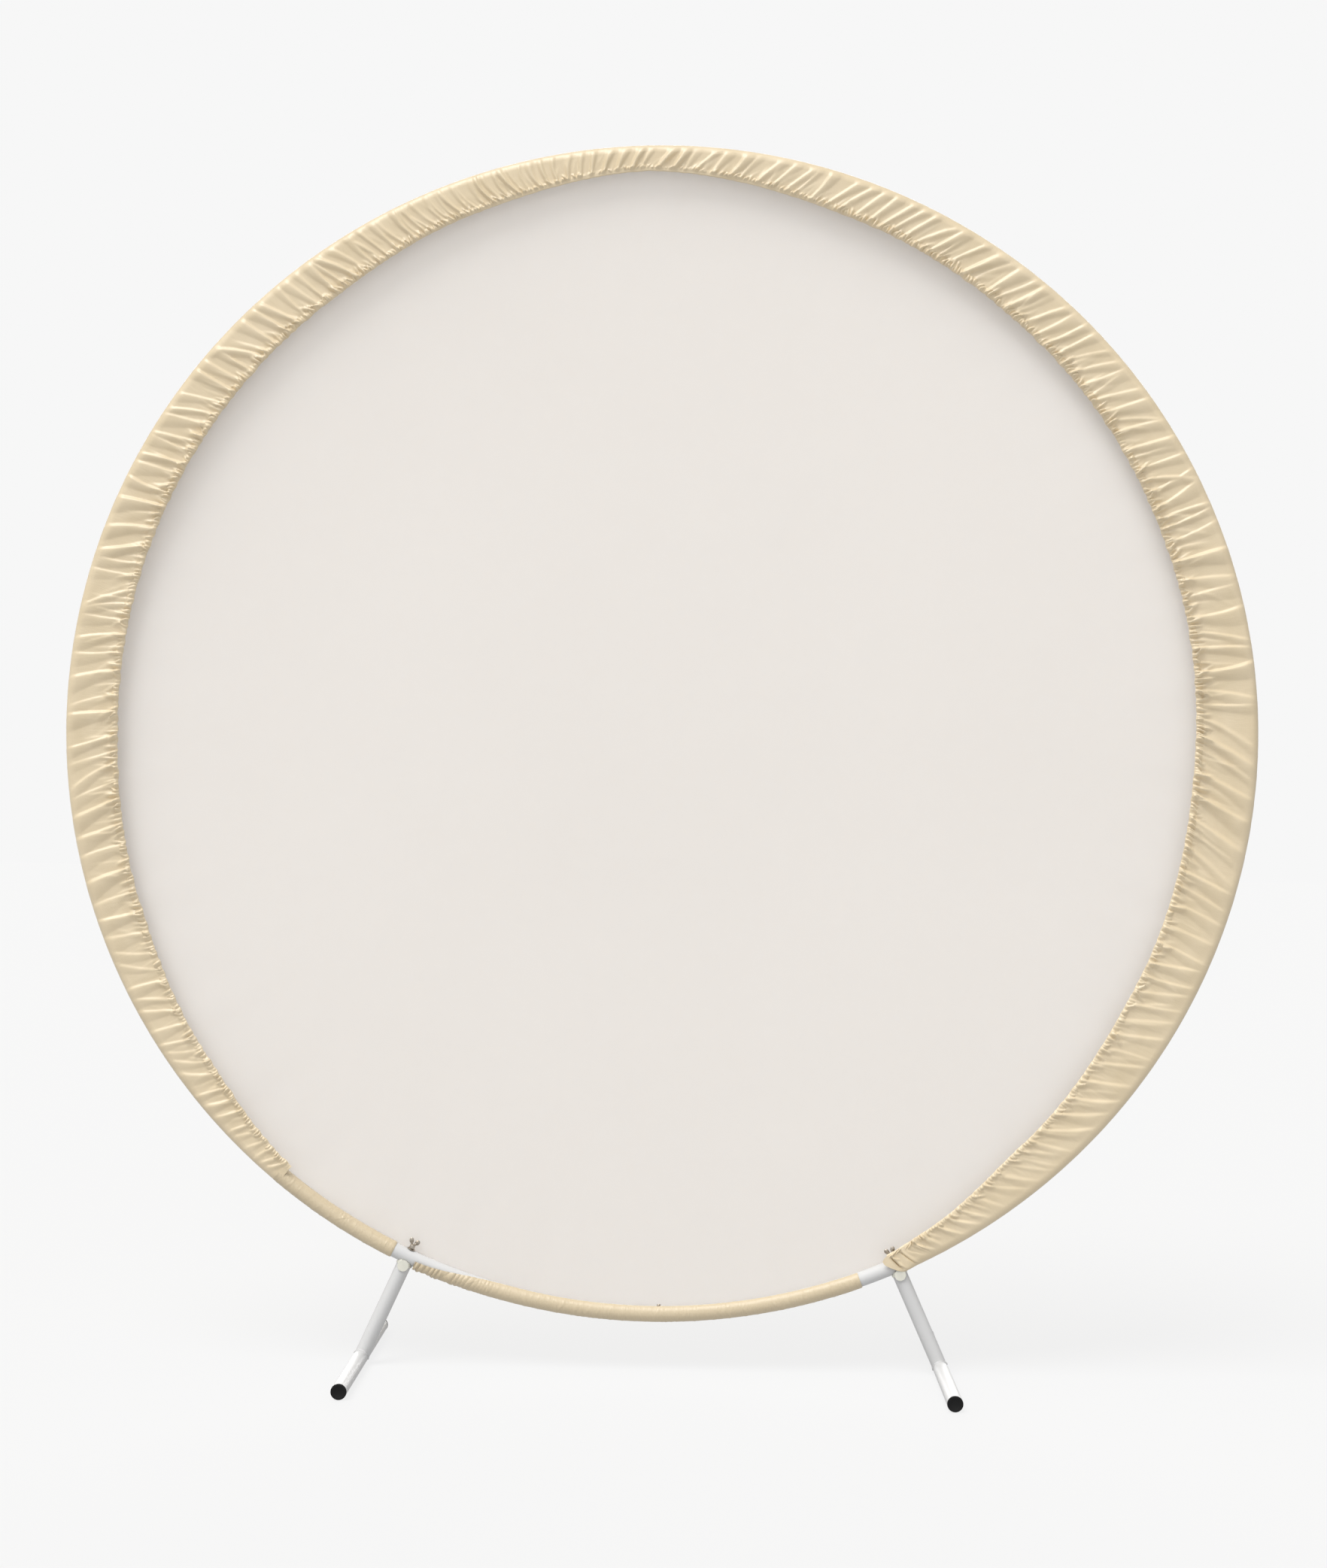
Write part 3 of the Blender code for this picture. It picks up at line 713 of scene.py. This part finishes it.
def lay_folds(run, reach, angles, widths, rng, kind):
    """Heights of one kind of fold over the band, each running from the hem outwards."""
    height = np.zeros_like(reach)
    place = run[0]
    total = run[-1]
    q = reach + (widths - CLOTH_RADIUS)[:, None]
    while place < total:
        angle = np.interp(place, run, angles)
        width = np.interp(place, run, widths)
        pitch = MM * np.interp(angle, *np.array(FOLD_SPACING, float).T) * kind["pitch"]
        pitch *= rng.uniform(0.65, 1.4)
        lean = np.interp(angle, *np.array(FOLD_LEAN, float).T) + rng.normal(0, kind["stray"])
        length = width * rng.uniform(*kind["length"])
        tall = kind["height"] * pitch * rng.uniform(*kind["vary"])
        tall *= np.interp(angle, *np.array(FOLD_HEIGHT, float).T)
        bend = rng.normal(0, 0.12) * kind["bend"] + float(np.interp(angle, *np.array(FOLD_BEND).T))
        window = abs(lean) * (width + 0.04) + 1.6 * pitch
        first, last = np.searchsorted(run, (place - window, place + window))
        rows = q[first:last]
        up = math.sin(math.radians(angle)) + bell(angle, *TOP_SKEW)
        outward = np.clip(rows - 4 * MM, 0, None)
        crest = place + lean * np.minimum(outward, width) + bend * outward * (outward / width)
        broad = kind["root"] + (1 - kind["root"]) * smooth(rows / (0.6 * length))
        offset = (run[first:last, None] - crest) / (pitch * broad)
        plain = bell(angle, *PLAIN_TOP)
        fade = smooth(rows / (5 * MM) + 0.35 - plain)
        fade = fade * (1 - smooth((rows - 0.55 * length) / (0.55 * length)))
        fade = fade * (1 - kind["drop"] * smooth(rows / width))
        fold = tall * fade * ridge(offset, float(np.clip(up * kind["skew"], -0.88, 0.88)))
        height[first:last] = np.maximum(height[first:last], fold)
        place += pitch * kind["step"]
    return height


FOLDS = (
    dict(pitch=1.0, step=0.95, length=(1.5, 2.6), height=0.13, vary=(0.6, 1.3), stray=0.08,
         bend=1.0, root=0.4, drop=0.15, skew=1.1),
    dict(pitch=0.5, step=1.3, length=(0.3, 0.9), height=0.10, vary=(0.3, 1.3), stray=0.25,
         bend=1.5, root=0.5, drop=0.2, skew=1.0),
    dict(pitch=0.27, step=0.85, length=(0.08, 0.3), height=0.62, vary=(0.25, 1.2), stray=0.5,
         bend=0.0, root=1.0, drop=0.0, skew=0.7),
)


def cloth_height(run, reach, angles, widths):
    """How far the gathered cloth stands off its base surface, the same for any grid over it."""
    rng = np.random.default_rng(11)
    height = sum(lay_folds(run, reach, angles, widths, rng, kind) for kind in FOLDS)
    turn = reach / CLOTH_RADIUS
    begin = np.interp(angles, *np.array(FOLD_END, float).T)[:, None]
    rim = 1 - 0.95 * smooth((turn - begin) / 1.7)
    ends = smooth((angles - BAND_START) / 0.8) * smooth((BAND_END - angles) / 1.0)
    return 0.2 * MM + height * rim * (0.3 + 0.7 * ends)[:, None]


def slanted(angles, reach):
    """Ring angles of the cloth's points: its right end is rounded and clears the clamp's seat."""
    near_end = 1 - smooth((angles[:, None] - BAND_START) / 6)
    places, back = np.array(END_OUTLINE, float).T
    return angles[:, None] + near_end * np.interp(reach / MM, places, back)


def drape_over_cheek(places, reach, y):
    """Lays the band's right end over the clamp's cheek, with a few deep creases beside it."""
    over = 1 - smooth((places - 25.3) / 1.8)
    over = over * (1 - smooth((reach / CLOTH_RADIUS - 0.9) / 0.6))
    proud = CHEEK_FACE + 1.9 * MM + 0.9 * MM * np.sin((places - BAND_START) * 3.4)
    y = y + over * (np.minimum(-proud, y) - y)
    for (start, first), (end, last), depth in END_CREASES:
        part = (reach / MM - first) / (last - first)
        line = start + (end - start) * part
        away = (places - line) * 17
        near = smooth(part * 5) * smooth((1 - part) * 3)
        groove = np.exp(-((away / 0.9) ** 2)) - 0.5 * np.exp(-(((away - 3.6) / 2.4) ** 2))
        y = y + near * groove * depth * MM
    return y


def sheet_mesh(name, points, uv, look, flip=False):
    """A mesh over a grid of points, with the cloth's own lengths as its UV map."""
    columns, rows = points.shape[:2]
    index = np.arange(columns * rows).reshape(columns, rows)
    a, b, c, d = index[:-1, :-1], index[1:, :-1], index[1:, 1:], index[:-1, 1:]
    quads = np.stack([a, b, c, d] if not flip else [a, d, c, b], axis=-1).reshape(-1, 4)
    mesh = bpy.data.meshes.new(name)
    mesh.from_pydata(points.reshape(-1, 3).tolist(), [], quads.tolist())
    layer = mesh.uv_layers.new(name="cloth")
    layer.data.foreach_set("uv", uv.reshape(-1, 2)[quads.reshape(-1)].ravel())
    mesh.shade_smooth()
    mesh.materials.append(look)
    piece = bpy.data.objects.new(name, mesh)
    bpy.context.scene.collection.objects.link(piece)
    return piece


def place_cloth(angles, out, y):
    """World points from ring angles, offsets outwards from the centreline and y."""
    x, z, out_x, out_z = ring(angles if angles.ndim == 2 else angles[:, None])
    return np.stack([x + out * out_x, y + 0 * out, z + out * out_z], axis=-1)


# Closer together beside the clamp, where the creases are deep
DENSE_END = 28
BAND_ANGLES = np.concatenate([
    np.linspace(BAND_START, DENSE_END, 200)[:-1], np.linspace(DENSE_END, BAND_END, 3001)
])
FLAT_ROWS = 21
ROUND_ROWS = 10


def gathered_band(look):
    """The band from the tube's front, round its outer side, to the hem's seam at the back."""
    angles = BAND_ANGLES
    run, widths = run_along(angles), band_width(angles)
    flat = (widths - CLOTH_RADIUS - HEM_DEPTH)[:, None]
    steps = np.linspace(1, 0, FLAT_ROWS, endpoint=False)[None, :] ** 1.15
    tube = CLOTH_RADIUS * np.linspace(0, math.pi, ROUND_ROWS)[None, :]
    reach = np.concatenate([-flat * steps, np.repeat(tube, len(angles), 0)], axis=1)
    height = cloth_height(run, reach, angles, widths)
    out, y, normal_out, normal_y = wrapped(reach)
    places = slanted(angles, reach)
    out, y = out + height * normal_out, y + height * normal_y
    y = drape_over_cheek(places, reach, y)
    points = place_cloth(places, out, y)
    uv = np.stack([np.repeat(run[:, None], reach.shape[1], 1), reach], axis=-1)
    piece = sheet_mesh("gathered_band", points, uv, look, flip=True)
    parts = ("right", "top", "left")
    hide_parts(*[f"{k}_{part}" for k in ("rear_band", "edge_strip") for part in parts])
    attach(piece, "frame_and_cover")
    return piece


# Rows of the hem's outer layer, in mm from its edge, and of the layer turned back inside: how far
# past the edge, in mm, and which share of the hem's thickness
HEM_ROWS = (11, 9.4, 7.8, 6.2, 4.6, 3.0, 1.6, 0.5)
HEM_TURN = ((0.9, 0.25), (1.15, 0.5), (0.8, 0.78), (-1.0, 1.0), (-6, 1.0))


def gathered_hem(look):
    """The hem: outer layer, turned edge and the layer folded back inside, over the elastic."""
    halfway = (BAND_ANGLES[1:] + BAND_ANGLES[:-1]) / 2
    angles = np.sort(np.concatenate([BAND_ANGLES, halfway]))
    run, widths = run_along(angles), band_width(angles)
    edge = -(widths - CLOTH_RADIUS)[:, None]
    outer = np.array(HEM_ROWS) * MM
    reach = edge + outer[None, :]
    height = cloth_height(run, reach, angles, widths)
    out, y, _, normal_y = wrapped(reach)
    pinch = (HEM_DEPTH - outer) / HEM_DEPTH
    wave = 0.9 * MM * np.sin(run * 240 + 3 * np.sin(run * 31))[:, None]
    wave = wave + 1.3 * MM * np.sin(run * 61 + 2 * np.sin(run * 17))[:, None]
    wavy = 0.35 + 0.65 * smooth((angles - 85) / 15) * (1 - smooth((angles - 150) / 15))
    wavy = (wavy + 0.65 * smooth((angles - 213) / 12))[:, None]
    shift = -np.abs(wave) * wavy * pinch[None, :] ** 2
    y = y + height * normal_y - 0.8 * MM * smooth(pinch * 2)[None, :]
    places = slanted(angles, reach)
    y = drape_over_cheek(places, reach, y)
    lip_y, lip_out = y[:, -1:], (out + shift)[:, -1:]
    inside = 2.0 * MM + 0.6 * (-CLOTH_RADIUS - lip_y)
    lip_outs = np.concatenate([lip_out - away * MM for away, _ in HEM_TURN], axis=1)
    lip_ys = np.concatenate([lip_y + inside * part for _, part in HEM_TURN], axis=1)
    out = np.concatenate([out + shift, lip_outs], axis=1)
    y = np.concatenate([y, lip_ys], axis=1)
    places = np.concatenate([places, np.repeat(places[:, -1:], len(HEM_TURN), 1)], axis=1)
    points = place_cloth(places, out, y)
    across = np.concatenate([outer, -np.array([0.5, 1.0, 1.6, 3.0, 8.0]) * MM])
    uv = np.stack([np.repeat(run[:, None], out.shape[1], 1), edge + across[None, :]], axis=-1)
    piece = sheet_mesh("gathered_hem", points, uv, look, flip=True)
    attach(piece, "frame_and_cover")
    return piece


def front_panel(front_look, back_look):
    """The taut disc of cloth across the ring's front, with faint rays drawn into its rim."""
    angles = np.linspace(0, 360, 361)
    shares = np.concatenate([np.linspace(0.02, 0.8, 20), np.linspace(0.82, 1, 19)])
    turn = np.radians(angles)[:, None]
    x = HALF_WIDTH * shares * np.sin(turn)
    z = RING_HEIGHT - HALF_HEIGHT * shares * np.cos(turn)
    rays = np.sin(47 * turn + 1.5 * np.sin(5 * turn))
    rays = rays + 0.6 * np.sin(83 * turn + 2 * np.sin(3 * turn))
    near_rim = smooth((shares - 0.72) / 0.25) * (1 - smooth((shares - 0.985) / 0.015))
    y = CLOTH_RADIUS + 0.35 * MM * rays * near_rim
    points = np.stack([x, y + 0 * x, z], axis=-1)
    uv = np.stack([x, z], axis=-1)
    piece = sheet_mesh("front_cloth", points, uv, front_look)
    piece.data.materials.append(back_look)
    select_only(piece)
    bpy.ops.object.mode_set(mode="EDIT")
    bpy.ops.mesh.select_all(action="SELECT")
    bpy.ops.mesh.remove_doubles(threshold=0.01 * MM)
    bpy.ops.mesh.select_all(action="DESELECT")
    bpy.ops.mesh.select_mode(type="EDGE")
    bpy.ops.object.mode_set(mode="OBJECT")
    close_middle(piece)
    finish_modifier(
        piece, "SOLIDIFY", thickness=PANEL_CLOTH, offset=-1, material_offset=1,
        material_offset_rim=0,
    )
    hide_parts("front_panel")
    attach(piece, "frame_and_cover")


def close_middle(piece):
    """Fills the small hole at the disc's middle."""
    select_only(piece)
    bpy.ops.object.mode_set(mode="EDIT")
    bpy.ops.mesh.select_mode(type="EDGE")
    bpy.ops.mesh.select_all(action="DESELECT")
    bpy.ops.object.mode_set(mode="OBJECT")
    centre = Vector((0, CLOTH_RADIUS, RING_HEIGHT))
    near = [(v.co - centre).length < 0.03 for v in piece.data.vertices]
    for edge in piece.data.edges:
        edge.select = near[edge.vertices[0]] and near[edge.vertices[1]]
    bpy.ops.object.mode_set(mode="EDIT")
    bpy.ops.mesh.edge_face_add()
    bpy.ops.object.mode_set(mode="OBJECT")


def tube_sleeve(name, node, angles, around, height, look):
    """Cloth drawn close round the tube: around gives the turn from the rear, in degrees."""
    turn = np.radians(around)
    radius = CLOTH_RADIUS + height
    out, y = radius * np.sin(turn), -radius * np.cos(turn)
    points = place_cloth(angles, out, y)
    run = run_along(angles)
    uv = np.stack([np.repeat(run[:, None], turn.shape[1], 1), turn * CLOTH_RADIUS], axis=-1)
    piece = sheet_mesh(name, points, uv, look, flip=True)
    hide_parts(node)
    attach(piece, "frame_and_cover")
    return piece


def wrinkles(run, turn, rng, count, size, height):
    """Small creases scattered over a sleeve, each a short ridge across or slantwise."""
    field = np.zeros_like(turn + run[:, None])
    for _ in range(count):
        place, side = rng.uniform(run[0], run[-1]), rng.uniform(turn.min(), turn.max())
        slant = rng.normal(0, 0.5)
        along = (run[:, None] - place) / size
        across = (turn - side) * CLOTH_RADIUS / size
        ridge_line = along - slant * across
        field += rng.uniform(-0.3, 1) * np.exp(-(ridge_line * 1.6) ** 2 - (across * 0.35) ** 2)
    return height * field


def left_sleeve(look):
    angles = np.linspace(BAND_END - 0.6, LEFT_SLEEVE_END, 260)
    around = np.repeat(np.linspace(180, -110, 60)[None, :], len(angles), 0)
    run, rng = run_along(angles), np.random.default_rng(5)
    height = wrinkles(run, np.radians(around), rng, 220, 3 * MM, 0.45 * MM) + 0.5 * MM
    mouth = smooth((run[-1] - run) / (2.5 * MM))[:, None]
    height = height * mouth - 0.4 * MM * (1 - mouth)
    height = height * (1 - 0.8 * smooth((around - 150) / 30))
    piece = tube_sleeve("left_cover_end", "left_sleeve", angles, around, height, look)


def bottom_sleeve(look):
    angles = np.linspace(*BOTTOM_SLEEVE, 760)
    end = -2 - 68 * smooth((angles - BOTTOM_SLEEVE[0]) / SLEEVE_RISE)
    share = np.linspace(0, 1, 52)[None, :]
    around = 180 + (end[:, None] - 180) * share
    run, rng = run_along(angles), np.random.default_rng(8)
    turn = np.radians(around)
    height = wrinkles(run, turn, rng, 560, 3.4 * MM, 0.4 * MM) + 0.4 * MM
    near_start = np.exp(-((run / (95 * MM)) ** 2))[:, None]
    slanted = run[:, None] + 5 * MM * (turn - 1.2)
    drift = (1.6 * np.sin(run * 55) + 0.9 * np.sin(run * 147 + 1))[:, None]
    pucker = np.abs(np.sin(slanted * math.pi / (8.5 * MM) + drift)) ** 0.6
    uneven = (1 + 0.35 * np.sin(run * 210))[:, None]
    height = height + 2.6 * MM * near_start * pucker * uneven * (1 - smooth((around - 100) / 60))
    height = height * (1 - 0.8 * smooth((around - 150) / 30))
    square_end = smooth((run[-1] - run) / (1.5 * MM))[:, None]
    height = 0.25 * MM + height * square_end
    piece = tube_sleeve("bottom_cover_end", "bottom_sleeve", angles, around, height, look)


# Stage ----------------------------------------------------------------------------------------


def stage():
    deselect()
    bpy.ops.mesh.primitive_plane_add(size=60, location=(0, 0, 0))
    floor = bpy.context.object
    floor.name = "studio_floor"
    paper = bpy.data.materials.new("studio_paper")
    paper.use_nodes = True
    tree = paper.node_tree
    shader = tree.nodes["Principled BSDF"]
    shader.inputs["Base Color"].default_value = (*PAPER, 1)
    shader.inputs["Roughness"].default_value = 0.9
    shader.inputs["Specular IOR Level"].default_value = 0.0
    shader.inputs["Emission Color"].default_value = (1, 1, 1, 1)
    path, glow = tree.nodes.new("ShaderNodeLightPath"), tree.nodes.new("ShaderNodeMapRange")
    tree.links.new(path.outputs["Is Camera Ray"], glow.inputs[0])
    glow.inputs[3].default_value, glow.inputs[4].default_value = PAPER_LIGHT, PAPER_SEEN
    tree.links.new(glow.outputs[0], shader.inputs["Emission Strength"])
    floor.data.materials.append(paper)


def sun(name, strength, spread, direction, colour=(1, 1, 1)):
    data = bpy.data.lights.new(name, "SUN")
    data.energy, data.angle, data.color = strength, math.radians(spread), colour
    lamp = bpy.data.objects.new(name, data)
    lamp.rotation_euler = Vector(direction).to_track_quat("-Z", "Y").to_euler()
    bpy.context.scene.collection.objects.link(lamp)


def light():
    world = bpy.data.worlds.new("studio")
    world.use_nodes = True
    tree = world.node_tree
    surround = tree.nodes["Background"]
    surround.inputs["Color"].default_value = (1, 1, 1, 1)
    surround.inputs["Strength"].default_value = SURROUND_LIGHT
    seen = tree.nodes.new("ShaderNodeBackground")
    seen.inputs["Color"].default_value = (1, 1, 1, 1)
    seen.inputs["Strength"].default_value = SURROUND_SEEN
    path = tree.nodes.new("ShaderNodeLightPath")
    mix = tree.nodes.new("ShaderNodeMixShader")
    tree.links.new(path.outputs["Is Camera Ray"], mix.inputs["Fac"])
    tree.links.new(surround.outputs["Background"], mix.inputs[1])
    tree.links.new(seen.outputs["Background"], mix.inputs[2])
    tree.links.new(mix.outputs["Shader"], tree.nodes["World Output"].inputs["Surface"])
    bpy.context.scene.world = world
    sun("overhead_softbox", 2.6, 38, (0.3, 0.36, -0.88), (1.0, 0.99, 0.97))
    sun("rear_fill", 0.85, 90, (-0.1, 1.0, -0.2))
    sun("front_softbox", 1.7, 50, (0.0, -1.0, -0.2))
    bpy.context.scene.view_settings.view_transform = "Standard"


def camera():
    data = bpy.data.cameras.new("camera")
    data.lens, data.sensor_width, data.sensor_fit = LENS, SENSOR, "AUTO"
    eye = bpy.data.objects.new("camera", data)
    eye.matrix_world = (
        Matrix.Translation(EYE) @ Matrix.Rotation(YAW, 4, "Z")
        @ Matrix.Rotation(PITCH, 4, "X") @ Matrix.Rotation(ROLL, 4, "Z")
    )
    bpy.context.scene.collection.objects.link(eye)
    bpy.context.scene.camera = eye


# Everything -----------------------------------------------------------------------------------


def dress_hidden_nodes(looks):
    """The frame's inner pieces keep their CAD shape and get their finishes."""
    for row in frame["record"]["subparts"]:
        node = frame["nodes"][row["node"]]
        look = looks.get(row["material_slot"])
        if look is not None:
            node.data.materials.clear()
            node.data.materials.append(look)


def build():
    camera()
    white, steel = powder_coat_look(), steel_look()
    black = moulded_look("black_plastic", BLACK, 0.5, 0.2)
    ivory = moulded_look("ivory_plastic", IVORY, 0.42)
    satin = satin_look("champagne_satin", 0.45)
    # Same satin for the sleeves, with stronger creases and slubs; its tone of 0.84 paints shade
    # into the cloth's colour
    shaded_sleeve_satin = satin_look("champagne_satin_drawn_shaded", 0.9, 1.4, 0.84, (420, 70, 1))
    reverse, elastic = reverse_look(), elastic_look()
    dress_hidden_nodes({
        "powder_coat": white, "zinc": steel, "black_plastic": black, "ivory_plastic": ivory,
        "champagne_satin": satin, "satin_reverse": reverse, "elastic": elastic,
    })
    for number in range(1, SECTION_COUNT + 1):
        ring_section(number, white)
    for side, name in ((-1, "left"), (1, "right")):
        leg_tube(side, name, white)
        weld_bead(side, name, white)
        floor_tube(name, white)
        for end in ("back", "front"):
            end_cap(name, end, black)
        saddle(side, name, ivory)
        washer(side, name, steel)
        wing_bolt(side, name, steel)
    front_panel(satin_look("champagne_satin_taut", 0.08, 0.8), reverse)
    hem = gathered_hem(satin)
    band = gathered_band(satin)
    left_sleeve(shaded_sleeve_satin)
    bottom_sleeve(shaded_sleeve_satin)
    stage()
    light()


build()
